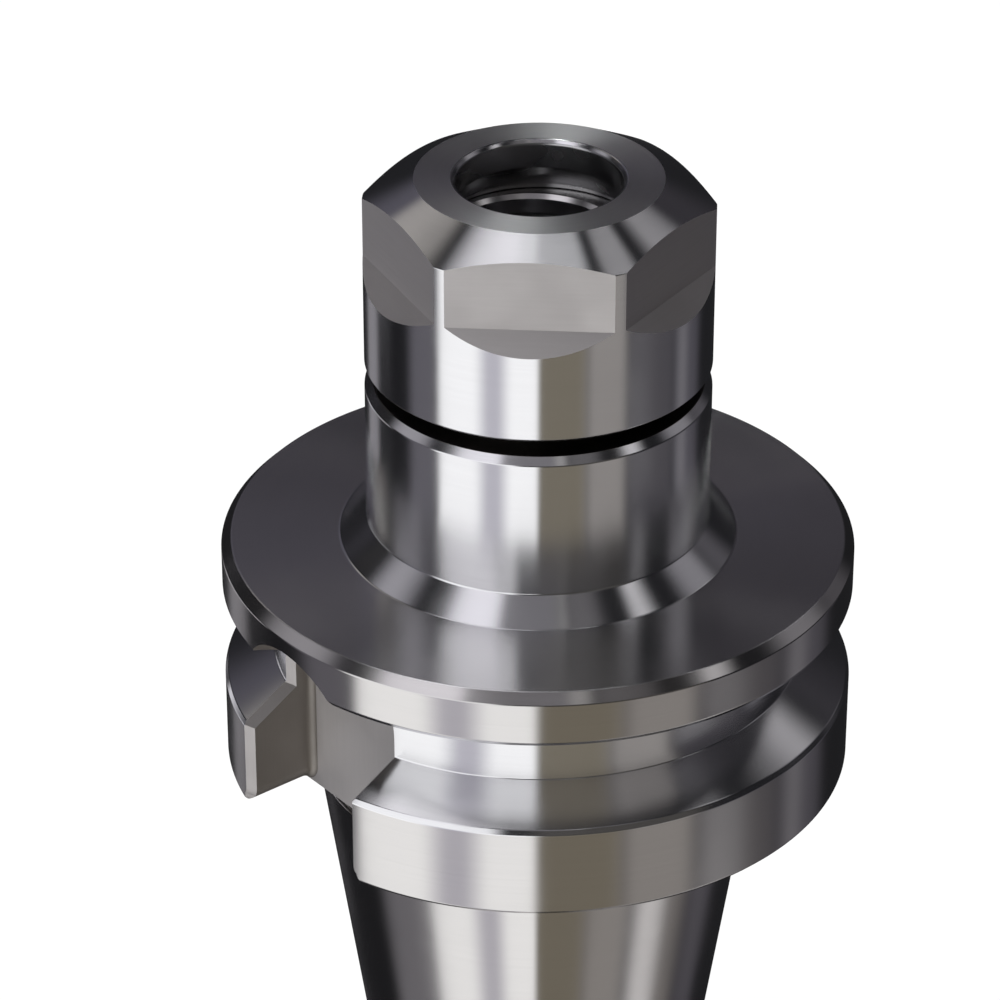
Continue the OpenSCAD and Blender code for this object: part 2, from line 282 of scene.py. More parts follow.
def finishes(*names):
    """The named steel finishes."""
    tints = bpy.context.scene.steel_colours
    made = {
        # Cylindrical grinding leaves a bright skin whose hair-fine lines run round, so
        # that upright softboxes show crisp at their sides and soft at their ends
        "ground": lambda: steel("steel_ground", tints.ground, 0.16, 0.93, 0.12 * MM, 0.0001 * MM),
        # The taper and the flange's rims are hardened before the same grinding, which leaves
        # them a shade darker than the nose and the groove
        "hard": lambda: steel("steel_hardened", tints.hard, 0.16, 0.93, 0.12 * MM, 0.0001 * MM),
        # A facing cut leaves a spiral of fine grooves, which spreads each light along the radius
        "faced": lambda: steel("steel_faced", tints.faced, 0.24, 1.0, 0.3 * MM, 0.0002 * MM),
        # Emery cloth has blurred those grooves on the nut's front, so lights fade into broad bands
        "rubbed": lambda: steel("steel_rubbed", tints.faced, 0.4, 0.82, 0.3 * MM, 0.0002 * MM),
        # Side milling leaves a satin skin with faint level feed lines
        "flat": lambda: steel(
            "steel_milled_flat", tints.milled, 0.57, 0.4, 0.22 * MM, 0.0011 * MM, "level"),
        # The slots are milled along the axis, so their feed lines stand upright
        "slot": lambda: steel(
            "steel_milled_slot", tints.milled, 0.6, 0.3, 0.25 * MM, 0.001 * MM, "upright"),
        # The side of the same cutter rubs the walls a little smoother, and their colour is darker
        # than the milled steel as painted shade in the slots
        "wall": lambda: steel(
            "steel_slot_wall_painted_shade", tints.wall, 0.55, 0.3, 0.25 * MM, 0.001 * MM, "upright"),
        # Bores are turned with a long bar, which leaves a duller skin
        "bored": lambda: steel("steel_bored", tints.bored, 0.27, 0.5, 0.2 * MM, 0.0004 * MM),
        # Thread flanks are cut in one pass. Their dark colour is painted shade for the gap under
        # the nut and the bores where the threads lie
        "threaded": lambda: steel(
            "steel_threaded_painted_shade", tints.threaded, 0.3, 0.4, 0.1 * MM, 0.0005 * MM),
        # The ring is turned from spring steel and tumbled smooth
        "ring": lambda: steel("steel_spring", tints.ring, 0.22, 0.4, 0.15 * MM, 0.0003 * MM),
    }
    return [made[name]() for name in names]


def turned_outline(corners, steps=4):
    """Rounds off a closed outline of corners (radius, height, rounding, finish).

    It runs anticlockwise and gives, for each stretch, its start and end, the way that the
    surface faces at each, and its finish."""
    spots = [Vector(c[:2]) for c in corners]
    points = []
    for i, (_, _, rounding, finish) in enumerate(corners):
        here, last, ahead = spots[i], spots[i - 1], spots[(i + 1) % len(spots)]
        before, after = (here - last).normalized(), (ahead - here).normalized()
        turn = math.atan2(before.cross(after), before.dot(after))
        facing = Vector((before.y, -before.x))
        room = 0.4 * min((here - last).length, (ahead - here).length)
        reach = 0 if rounding <= 0 else min(rounding * math.tan(abs(turn) / 2), room)
        if reach < 0.001 * MM:
            points.append((here, facing, Vector((after.y, -after.x)), finish))
            continue
        bend = math.copysign(reach / math.tan(abs(turn) / 2), turn)
        start = here - before * reach
        middle = start - facing * bend
        for step in range(steps + 1):
            swing = turn * step / steps
            spoke = Vector((
                facing.x * math.cos(swing) - facing.y * math.sin(swing),
                facing.x * math.sin(swing) + facing.y * math.cos(swing)))
            points.append((middle + spoke * bend, spoke, spoke, finish))
    stretches = []
    for i, (point, _, facing, finish) in enumerate(points):
        ahead = points[(i + 1) % len(points)]
        stretches.append((point, ahead[0], facing, ahead[1], finish))
    return stretches


def turned(name, stretches, names):
    """A piece that the outline's stretches sweep round the axis.

    Each face keeps the number of its stretch as its band, counted from 1."""
    bm = bmesh.new()
    band = bm.faces.layers.int.new("band")
    turns = [math.tau * step / STRIPS for step in range(STRIPS)]
    rings = []
    for start, _, _, _, _ in stretches:
        rings.append([
            bm.verts.new((start.x * math.cos(a), start.x * math.sin(a), start.y)) for a in turns])
    for i, stretch in enumerate(stretches):
        low, high = rings[i], rings[(i + 1) % len(rings)]
        for near in range(STRIPS):
            far = (near + 1) % STRIPS
            face = bm.faces.new((low[near], low[far], high[far], high[near]))
            face.material_index = names.index(stretch[4])
            face[band] = i + 1
    return as_piece(name, bm, finishes(*names))


def as_piece(name, bm, materials):
    """A mesh object at the origin with the given materials, made from a bmesh."""
    bmesh.ops.recalc_face_normals(bm, faces=bm.faces)
    mesh = bpy.data.meshes.new(name)
    bm.to_mesh(mesh)
    bm.free()
    for material in materials:
        mesh.materials.append(material)
    piece = bpy.data.objects.new(name, mesh)
    bpy.context.scene.collection.objects.link(piece)
    return piece


def lofted(name, loops, *materials):
    """A closed piece through loops that have the same number of points.

    The first material is its own, and the last is that of its start."""
    bm = bmesh.new()
    rows = [[bm.verts.new(point) for point in loop] for loop in loops]
    for low, high in zip(rows, rows[1:]):
        for i in range(len(low)):
            j = (i + 1) % len(low)
            bm.faces.new((low[i], low[j], high[j], high[i]))
    bm.faces.new(rows[0]).material_index = len(materials) - 1
    bm.faces.new(rows[-1])
    return as_piece(name, bm, materials)


def bake(piece):
    """Turns a piece and its modifiers into a plain mesh."""
    shown = piece.evaluated_get(bpy.context.evaluated_depsgraph_get())
    mesh = bpy.data.meshes.new_from_object(shown)
    old = piece.data
    piece.modifiers.clear()
    piece.data = mesh
    bpy.data.meshes.remove(old)


def cut(piece, cutters):
    """Takes the cutters' shapes out of a piece, which keeps their finish where it was cut."""
    tools = bpy.data.collections.new("cutters")
    bpy.context.scene.collection.children.link(tools)
    for cutter in cutters:
        tools.objects.link(cutter)
    saw = piece.modifiers.new("saw", "BOOLEAN")
    saw.operation = "DIFFERENCE"
    saw.solver = "EXACT"
    saw.operand_type = "COLLECTION"
    saw.collection = tools
    saw.material_mode = "TRANSFER"
    bake(piece)
    for cutter in cutters:
        bpy.data.objects.remove(cutter)
    bpy.data.collections.remove(tools)


def shade(piece, stretches, crease=28):
    """Shades a piece smooth, and lets its turned faces face exactly as their outline does."""
    bm = bmesh.new()
    bm.from_mesh(piece.data)
    bmesh.ops.remove_doubles(bm, verts=bm.verts, dist=MERGE)
    bmesh.ops.dissolve_degenerate(bm, edges=bm.edges, dist=MERGE)
    bm.to_mesh(piece.data)
    bm.free()
    piece.data.shade_smooth()
    piece.data.set_sharp_from_angle(angle=math.radians(crease))
    weigh = piece.modifiers.new("weigh", "WEIGHTED_NORMAL")
    weigh.keep_sharp = True
    bake(piece)
    mesh = piece.data
    facings = [corner.vector.copy() for corner in mesh.corner_normals]
    bands = mesh.attributes["band"].data
    for face in mesh.polygons:
        band = bands[face.index].value
        if band == 0:
            continue
        start, end, first, last, _ = stretches[band - 1]
        run = end - start
        for loop in face.loop_indices:
            spot = mesh.vertices[mesh.loops[loop].vertex_index].co
            far = math.hypot(spot.x, spot.y)
            share = (Vector((far, spot.z)) - start).dot(run) / run.length_squared
            facing = first.lerp(last, min(max(share, 0), 1)).normalized()
            facings[loop] = Vector((
                facing.x * spot.x / far, facing.x * spot.y / far, facing.y))
    mesh.normals_split_custom_set(facings)


def slot_cutters(turn):
    """The shapes that mill one drive slot, on the side that turn gives.

    The first is the slot itself. The other two bevel its walls. They fade in along the lead-in
    radius, then follow the rim, the gripper groove's side and floor, and the round end."""
    body = bpy.context.scene.holder_sizes
    slot = bpy.context.scene.slot_sizes
    half = slot.width / 2
    foot = body.flange_height
    # The walls' steel is darker than the floor's, as painted shade in the slots
    floor, wall = finishes("slot", "wall")
    spin = (math.cos(turn), math.sin(turn))

    def turned_to(x, y, z):
        """A point on the slot's side of the holder."""
        return (x * spin[0] - y * spin[1], x * spin[1] + y * spin[0], z)

    def loop(x, inset):
        """The slot's outline at a distance from the axis, inset all round."""
        # Steps along the round end and along each lead-in radius
        arc, lead = 40, 10
        points = []
        for step in range(arc + 1):
            a = math.pi * step / arc
            points.append((
                (half - inset) * math.cos(a), slot.end_height + (half - inset) * math.sin(a)))
        side = []
        for step in range(lead + 1):
            a = math.pi / 2 * step / lead
            side.append((
                half - inset + slot.lead * (1 - math.cos(a)), foot + slot.lead * (1 - math.sin(a))))
        side.append((half - inset + slot.lead, foot - PAST))
        points += [(-y, z) for y, z in side]
        points += list(reversed(side))
        return [turned_to(x, y, z) for y, z in points]

    loops = []
    for step in range(7):
        a = math.pi / 2 * step / 6
        loops.append(
            loop(slot.floor + slot.corner * (1 - math.cos(a)), slot.corner * (1 - math.sin(a))))
    loops.append(loop(body.flange_radius + 2 * PAST, 0))
    cutters = [lofted("slot_cutter", loops, wall, floor)]

    side = (body.flange_radius - body.groove_radius) * math.tan(body.groove_slope)
    low = foot + body.lower_rim
    past = PAST / 2
    upright = Vector((1, 0))
    sloping = Vector((math.sin(body.groove_slope), math.cos(body.groove_slope)))
    mitre = (upright + sloping) / (1 + upright.dot(sloping))
    # Each stop has its radius, height, distance from the slot's middle, the turn of the wall
    # there, the way out of the steel, and the bevel's width
    stops = []
    for step in range(10):
        a = math.pi / 2 * (1 - step / 9)
        stops.append((
            body.flange_radius, foot + slot.lead * (1 - math.sin(a)),
            half + slot.lead * (1 - math.cos(a)), a, upright, slot.bevel * min(1, step / 5)))
    stops.append((body.flange_radius, low, half, 0, mitre, slot.bevel))
    stops.append((body.groove_radius, low + side, half, 0, mitre, slot.bevel))
    for step in range(5):
        a = math.asin((low + body.groove_width - side - slot.end_height) / half) * step / 4
        stops.append((
            body.groove_radius, slot.end_height + half * math.sin(a), half * math.cos(a), a,
            upright, slot.bevel))
    for mirror in (1, -1):
        loops = []
        for radius, z, y, a, out, bevel in stops:
            x = math.sqrt(radius ** 2 - y ** 2)
            wedge = [(-bevel - past, -past), (past, bevel + past), (past, -past)]
            loops.append([
                turned_to(x + out.x * far, mirror * (y + math.cos(a) * wide),
                          z + out.y * far + math.sin(a) * wide)
                for far, wide in wedge])
        cutters.append(lofted("bevel_cutter", loops, floor))
    return cutters


class CHUCK_OT_holder(bpy.types.Operator):
    """Turn the holder's body and mill its drive slots"""
    bl_idname = "chuck.holder"
    bl_label = "Holder body"

    def execute(self, context):
        s = context.scene.holder_sizes
        # The taper is 7 in 24 on its diameter
        slope = 7 / 48
        groove_low = s.flange_height + s.lower_rim
        groove_high = groove_low + s.groove_width
        top = groove_high + s.upper_rim
        shoulder = top + s.shoulder
        end = shoulder + s.thread_length
        side = (s.flange_radius - s.groove_radius) * math.tan(s.groove_slope)
        relief = s.flange_height - s.relief_length
        seat_foot = end - (s.seat_radius - s.bore_radius) / math.tan(s.seat_slope)
        pilot = s.tail_height + s.pilot_length
        stud = pilot + s.stud_length
        edge = 0.3 * MM
        rise = edge * math.tan(s.groove_slope)
        tail_edge = 0.6 * MM
        corners = [
            (s.pilot_radius + s.pilot_chamfer, s.tail_height, 0.1 * MM, "faced"),
            (s.tail_radius - tail_edge, s.tail_height, 0.15 * MM, "hard"),
            (s.tail_radius + tail_edge * slope, s.tail_height + tail_edge, 0.3 * MM, "hard"),
            (s.gauge_radius + relief * slope, relief, 0.15 * MM, "hard"),
            (s.relief_radius, relief, 0.1 * MM, "hard"),
            (s.relief_radius, s.flange_height, 0.1 * MM, "faced"),
            (s.flange_radius - s.flange_chamfer, s.flange_height, 0.15 * MM, "hard"),
            (s.flange_radius, s.flange_height + s.flange_chamfer, 0.3 * MM, "hard"),
            (s.flange_radius, groove_low - edge, 0.3 * MM, "ground"),
            (s.flange_radius - edge, groove_low + rise, 0.3 * MM, "ground"),
            (s.groove_radius, groove_low + side, 0.2 * MM, "ground"),
            (s.groove_radius, groove_high - side, 0.2 * MM, "ground"),
            (s.flange_radius - edge, groove_high - rise, 0.3 * MM, "ground"),
            (s.flange_radius, groove_high + edge, 0.3 * MM, "hard"),
            (s.flange_radius, top - s.rim_chamfer, 0.25 * MM, "hard"),
            (s.flange_radius - s.rim_chamfer, top, 0.25 * MM, "faced"),
            (s.cone_radius, top, 0.4 * MM, "ground"),
            (s.nose_radius, top + s.cone_height, 0.3 * MM, "ground"),
            (s.nose_radius, shoulder - s.shoulder_chamfer, 0.25 * MM, "ground"),
            # The shoulder's face under the nut takes the dark thread steel, as painted shade in the
            # gap
            (s.nose_radius - s.shoulder_chamfer, shoulder, 0.15 * MM, "threaded"),
            (s.thread_root, shoulder, 0.2 * MM, "threaded"),
            (s.thread_root, end - 0.1 * MM, 0.1 * MM, "faced"),
            (s.thread_root - 0.1 * MM, end, 0.1 * MM, "faced"),
            (s.seat_radius + edge, end, 0.1 * MM, "bored"),
            (s.seat_radius - edge * math.tan(s.seat_slope), end - edge, 0.1 * MM, "ground"),
            (s.bore_radius, seat_foot, 0.2 * MM, "bored"),
            (s.bore_radius, stud, 0.1 * MM, "bored"),
            (s.stud_root, stud, 0.1 * MM, "threaded"),
            (s.stud_root, pilot, 0.1 * MM, "bored"),
            (s.pilot_radius, pilot, 0.1 * MM, "bored"),
            (s.pilot_radius, s.tail_height + s.pilot_chamfer, 0.15 * MM, "bored"),
        ]
        names = ["ground", "hard", "faced", "bored", "threaded"]
        stretches = turned_outline(corners)
        body = turned("holder", stretches, names)
        cut(body, slot_cutters(0) + slot_cutters(math.pi))
        shade(body, stretches)
        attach(body, "holder")
        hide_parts("holder_body")
        return {"FINISHED"}


class CHUCK_OT_nut(bpy.types.Operator):
    """Turn the clamping nut and mill its wrench flats"""
    bl_idname = "chuck.nut"
    bl_label = "Clamping nut"

    def execute(self, context):
        s = context.scene.nut_sizes
        front = (s.radius - s.face_radius) * math.tan(s.face_slope)
        mouth = s.top - s.mouth_length
        press = mouth - s.press_length
        groove_top = press - s.collar_length
        groove = groove_top - s.groove_length
        press_radius = s.mouth_radius + s.press_length * math.tan(s.press_slope)
        back_edge = 0.35 * MM
        mouth_edge = 0.4 * MM
        thread_edge = 0.6 * MM
        corners = [
            (s.lead_radius, s.bottom, 0.1 * MM, "faced"),
            (s.radius - back_edge, s.bottom, 0.12 * MM, "ground"),
            (s.radius, s.bottom + back_edge, 0.15 * MM, "ground"),
            (s.radius, s.top - front, 0.12 * MM, "ground"),
            (s.face_radius, s.top, 0.2 * MM, "rubbed"),
            (s.mouth_radius + mouth_edge, s.top, 0.3 * MM, "ground"),
            (s.mouth_radius, s.top - mouth_edge, 0.4 * MM, "bored"),
            (s.mouth_radius, mouth, 0.2 * MM, "bored"),
            (press_radius, press, 0.1 * MM, "bored"),
            (s.collar_radius, press, 0.1 * MM, "bored"),
            (s.collar_radius, groove_top, 0.1 * MM, "bored"),
            (s.groove_radius, groove_top, 0.1 * MM, "bored"),
            (s.groove_radius, groove, 0.1 * MM, "bored"),
            (s.thread_root - thread_edge, groove, 0.05 * MM, "threaded"),
            (s.thread_root, groove - thread_edge, 0.05 * MM, "threaded"),
            (s.thread_root, s.bottom + s.lead_length + 0.15 * MM, 0.05 * MM, "threaded"),
            (s.lead_radius, s.bottom + s.lead_length, 0.05 * MM, "bored"),
        ]
        names = ["ground", "faced", "rubbed", "bored", "threaded"]
        stretches = turned_outline(corners)
        nut = turned("nut", stretches, names)
        flat_steel = finishes("flat")[0]
        cutters = []
        for flat in range(6):
            turn = s.flat_turn + math.radians(60 * flat)
            out = s.radius + PAST - s.flat_distance
            low = s.top - s.flat_depth
            # The cutter leaves the nut at 45 degrees
            section = [(0, low), (out, low - out), (out, s.top + PAST), (0, s.top + PAST)]
            loops = []
            for across in (-s.radius, s.radius):
                loops.append([(
                    (s.flat_distance + x) * math.cos(turn) - across * math.sin(turn),
                    (s.flat_distance + x) * math.sin(turn) + across * math.cos(turn),
                    z) for x, z in section])
            cutters.append(lofted("flat_cutter", loops, flat_steel))
        cut(nut, cutters)
        shade(nut, stretches)
        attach(nut, "nut")
        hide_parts("clamping_nut")
        return {"FINISHED"}


class CHUCK_OT_ring(bpy.types.Operator):
    """Turn the eccentric ring, bore its off-centre hole and slit it"""
    bl_idname = "chuck.ring"
    bl_label = "Eccentric ring"

    def execute(self, context):
        s = context.scene.ring_sizes
        top = s.bottom + s.thickness
        # The blank's own hole is small enough to vanish in the off-centre one
        blank = s.hole_radius - 2 * MM
        corners = [
            (blank, s.bottom, 0, "ring"),
            (s.radius, s.bottom, 0.15 * MM, "ring"),
            (s.radius, top, 0.15 * MM, "ring"),
            (blank, top, 0, "ring"),
        ]
        stretches = turned_outline(corners)
        ring = turned("ring", stretches, ["ring"])
        material = finishes("ring")[0]
        hole = [
            (s.hole_radius + s.chamfer, s.bottom - PAST),
            (s.hole_radius + s.chamfer, s.bottom),
            (s.hole_radius, s.bottom + s.chamfer),
            (s.hole_radius, top - s.chamfer),
            (s.hole_radius + s.chamfer, top),
            (s.hole_radius + s.chamfer, top + PAST),
        ]
        middle = Vector((s.offset * math.cos(s.turn), s.offset * math.sin(s.turn)))
        turns = [math.tau * step / 192 for step in range(192)]
        loops = []
        for radius, height in hole:
            loops.append([
                (middle.x + radius * math.cos(a), middle.y + radius * math.sin(a), height)
                for a in turns])
        saw = []
        far = s.radius + PAST
        for height in (s.bottom - PAST, top + PAST):
            ends = [(-s.slit / 2, 0), (s.slit / 2, 0), (s.slit / 2, far), (-s.slit / 2, far)]
            saw.append([(
                x * math.cos(s.turn) - y * math.sin(s.turn),
                x * math.sin(s.turn) + y * math.cos(s.turn),
                height) for x, y in ends])
        cut(ring, [lofted("hole_cutter", loops, material), lofted("slit_cutter", saw, material)])
        shade(ring, stretches)
        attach(ring, "ring")
        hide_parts("eccentric_ring")
        return {"FINISHED"}


def thread_tree():
    """Geometry Nodes that lay a thread's ridge round the Z axis as a right-hand helix."""
    tree = bpy.data.node_groups.new("thread ridge", "GeometryNodeTree")
    asked = [
        ("Radius", "NodeSocketFloat"), ("Depth", "NodeSocketFloat"), ("Pitch", "NodeSocketFloat"),
        ("Turns", "NodeSocketFloat"), ("Start", "NodeSocketFloat"), ("Base", "NodeSocketFloat"),
        ("Crest", "NodeSocketFloat"), ("Runout", "NodeSocketFloat"),
        ("Finish", "NodeSocketMaterial")]
    for name, kind in asked:
        tree.interface.new_socket(name, in_out="INPUT", socket_type=kind)
    tree.interface.new_socket("Geometry", in_out="OUTPUT", socket_type="NodeSocketGeometry")
    given = add(tree, "NodeGroupInput").outputs
    height = add(
        tree, "ShaderNodeMath", {0: given["Pitch"], 1: given["Turns"]}, operation="MULTIPLY")
    helix = add(tree, "GeometryNodeCurveSpiral", {
        "Resolution": 96, "Rotations": given["Turns"], "Start Radius": given["Radius"],
        "End Radius": given["Radius"], "Height": height.outputs[0], "Reverse": True})
    upright = add(tree, "GeometryNodeSetCurveNormal", {"Curve": helix.outputs[0]}, mode="Z_UP")
    ridge = add(tree, "GeometryNodeCurvePrimitiveQuadrilateral", {
        "Height": given["Depth"], "Bottom Width": given["Base"], "Top Width": given["Crest"],
        "Offset": 0.0}, mode="TRAPEZOID")
    half = add(tree, "ShaderNodeMath", {0: given["Depth"], 1: 0.5}, operation="MULTIPLY")
    out = add(tree, "ShaderNodeCombineXYZ", {0: half.outputs[0]})
    turned_ridge = add(tree, "GeometryNodeTransform", {
        "Geometry": ridge.outputs[0], "Translation": out.outputs[0],
        "Rotation": (0, 0, -math.pi / 2)})
    along = add(tree, "GeometryNodeSplineParameter").outputs["Factor"]
    gone = add(tree, "ShaderNodeMath", {0: 1.0, 1: along}, operation="SUBTRACT")
    near = add(tree, "ShaderNodeMath", {0: along, 1: gone.outputs[0]}, operation="MINIMUM")
    size = add(tree, "ShaderNodeMapRange", {
        "Value": near.outputs[0], "From Max": given["Runout"], "To Min": 0.05, "To Max": 1.0})
    swept = add(tree, "GeometryNodeCurveToMesh", {
        "Curve": upright.outputs[0], "Profile Curve": turned_ridge.outputs[0],
        "Scale": size.outputs[0], "Fill Caps": True})
    lift = add(tree, "ShaderNodeCombineXYZ", {2: given["Start"]})
    placed = add(tree, "GeometryNodeTransform", {
        "Geometry": swept.outputs[0], "Translation": lift.outputs[0]})
    real = add(tree, "GeometryNodeRealizeInstances", {0: placed.outputs[0]})
    done = add(tree, "GeometryNodeSetMaterial", {
        "Geometry": real.outputs[0], "Material": given["Finish"]})
    end = add(tree, "NodeGroupOutput")
    tree.links.new(done.outputs[0], end.inputs[0])
    return tree


class CHUCK_OT_threads(bpy.types.Operator):
    """Lay the threads of the nose, the nut and the pull stud bore"""
    bl_idname = "chuck.threads"
    bl_label = "Threads"

    def execute(self, context):
        holder = context.scene.holder_sizes
        nut = context.scene.nut_sizes
        shoulder = (holder.flange_height + holder.lower_rim + holder.groove_width
                    + holder.upper_rim + holder.shoulder)
        pilot = holder.tail_height + holder.pilot_length
        tree = thread_tree()
        finish = finishes("threaded")[0]
        # Each thread has its name, body and slot, then the radius at its root, its depth and
        # pitch in millimetres, its turns and the height of its start. A depth below zero
        # stands inwards
        rows = [
            ("nose_thread", "holder", "ground_steel",
             holder.thread_root, 0.87, 1.5, 6.9, shoulder + 1.9 * MM),
            ("nut_thread", "nut", "nut_steel",
             nut.thread_root, -0.84, 1.5, 6.4, nut.bottom + 1.25 * MM),
            ("stud_thread", "holder", "ground_steel",
             holder.stud_root, -1.0, 2.0, 14.4, pilot + 0.6 * MM),
        ]
        for name, body, slot, radius, depth, pitch, turns, start in rows:
            ridge = bpy.data.objects.new(name, bpy.data.meshes.new(name))
            context.scene.collection.objects.link(ridge)
            lay = ridge.modifiers.new("thread", "NODES")
            lay.node_group = tree
            values = {
                "Radius": radius, "Depth": depth * MM, "Pitch": pitch * MM, "Turns": turns,
                "Start": start, "Base": 0.86 * pitch * MM, "Crest": 0.16 * pitch * MM,
                "Runout": 0.5 / turns, "Finish": finish}
            for socket in tree.interface.items_tree:
                if socket.in_out == "INPUT":
                    lay[socket.identifier] = values[socket.name]
            bake(ridge)
            bm = bmesh.new()
            bm.from_mesh(ridge.data)
            bmesh.ops.recalc_face_normals(bm, faces=bm.faces)
            bm.to_mesh(ridge.data)
            bm.free()
            ridge.data.shade_smooth()
            ridge.data.set_sharp_from_angle(angle=math.radians(30))
            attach(ridge, body)
        return {"FINISHED"}


# Softboxes and cards that stand round the object. Each has its direction from the studio's front
# and its height, both in degrees, half its width and half its height, the softness of its
# edges, and the colour that it shows in bright steel
SOFTBOXES = [
    # Tall boxes that reach below the object
    (-34, -60, 35, 66, 2.5, "#FFFFFF"),
    (-41, 20, 27, 22, 4, "#FAFAFC"),
    (-30, -56, 8, 58, 6, "#BAB8C0"),
    (30, 20, 30, 24, 5, "#464442"),
    (16, -42, 15.5, 32, 3, "#767064"),
    (46, -42, 14.5, 32, 6, "#8E8A87"),
    (80, -42, 19, 32, 5, "#4A484C"),
    (115, -33, 13.5, 16, 6, "#4E4C52"),
    (109, -31, 5, 9, 5, "#727074"),
    (-82, -40, 11, 78, 5, "#5E5C62"),
    (-88, -62, 18, 22, 6, "#727074"),
    (-141, -24, 9.5, 11, 3, "#807E82"),
    (77, -60, 11, 22, 6, "#D8D6D6"),
    (94, -60, 8, 22, 6, "#7A7674"),
    # Low cards beside and behind it
    (-122, -10, 16, 6, 3, "#ECEAF0"),
    (-160, 32, 26, 14, 8, "#54525A"),
    (162, 32, 24, 14, 8, "#343236"),
    (-99, 33, 13, 11, 5, "#9C9A9F"),
    (-137, 43, 9, 13, 4, "#A4A09C"),
    (110, 29, 11, 11, 5, "#7E7C80"),
    (127, 14, 8, 12, 6, "#504E52"),
    (130, 44, 8, 9, 4, "#A6A4A6"),
    # Boxes over its front
    (-50, 56, 18, 16, 3, "#ECEAF0"),
    (-7, 58, 24, 14, 4, "#78767A"),
    (20, 56, 5, 7, 4, "#B0AEAE"),
    (40, 58, 12, 14, 4, "#626062"),
    (77, 48, 5.5, 8, 3, "#DCDADC"),
    (121, 65, 8, 5, 2, "#C8C6C8"),
]

# Height in degrees that parts the studio's low boxes from its high ones
DIVIDE = -4

# Softboxes on the ceiling. Each has its distance ahead of the object and to its right, half its
# depth and half its width, and the softness of its edges, all in ceiling heights. Its colour
# and its power follow
CEILING = [
    (-0.11, -0.26, 0.17, 0.25, 0.03, "#FAF8FC", 1),
    (-0.125, 0.065, 0.08, 0.175, 0.03, "#E8E8EA", 1),
    (-0.75, -0.080, 0.10, 0.017, 0.011, "#F6FCF8", 18),
]


def towards(heading):
    """A level direction."""
    return (math.cos(heading), math.sin(heading), 0)


def hang(tree, shown, sides, soft, tint):
    """Hangs a box before what is shown so far.

    For width and height, sides has how far a ray lies from the box's middle, and its half size."""
    inside = []
    for gap, half in sides:
        apart = add(tree, "ShaderNodeMath", {0: gap.outputs[0]}, operation="ABSOLUTE")
        inside.append(add(tree, "ShaderNodeMapRange", {
            "Value": apart.outputs[0], "From Min": half - soft, "From Max": half + soft,
            "To Min": 1.0, "To Max": 0.0}, interpolation_type="SMOOTHSTEP").outputs[0])
    both = add(tree, "ShaderNodeMath", {0: inside[0], 1: inside[1]}, operation="MULTIPLY")
    return add(tree, "ShaderNodeMix", {
        "Factor": both.outputs[0], 6: shown, 7: tint}, data_type="RGBA").outputs[2]


def hang_softboxes(tree, shown, front, level, height, side, high):
    """Hangs the softboxes that reach the studio's left (-1) or right (1), low or high."""
    for turn, up, wide, tall, soft, hex_colour in SOFTBOXES:
        off = abs((turn - 90 * side + 180) % 360 - 180)
        missed = up + tall + soft < DIVIDE if high else up - tall - soft > DIVIDE
        if missed or off > 90 + wide + soft:
            continue
        ahead = add(
            tree, "ShaderNodeVectorMath", {0: level, 1: towards(front + math.radians(turn))},
            operation="DOT_PRODUCT")
        aside = add(tree, "ShaderNodeMath", {0: ahead.outputs["Value"]}, operation="ARCCOSINE")
        over = add(tree, "ShaderNodeMath", {0: height, 1: math.radians(up)}, operation="SUBTRACT")
        sides = [(aside, math.radians(wide)), (over, math.radians(tall))]
        shown = hang(tree, shown, sides, math.radians(soft), linear(hex_colour))
    return shown


def hang_ceiling(tree, shown, front, way, above):
    """Hangs the ceiling's softboxes. A ray meets the ceiling at its level part over its height."""
    for ahead, right, deep, wide, soft, hex_colour, power in CEILING:
        sides = []
        for heading, middle, half in ((front, ahead, deep), (front + math.pi / 2, right, wide)):
            along = add(
                tree, "ShaderNodeVectorMath", {0: way, 1: towards(heading)},
                operation="DOT_PRODUCT")
            place = add(
                tree, "ShaderNodeMath", {0: along.outputs["Value"], 1: above}, operation="DIVIDE")
            gap = add(
                tree, "ShaderNodeMath", {0: place.outputs[0], 1: middle}, operation="SUBTRACT")
            sides.append((gap, half))
        tint = [part * power for part in linear(hex_colour)]
        shown = hang(tree, shown, sides, soft, tint)
    return shown


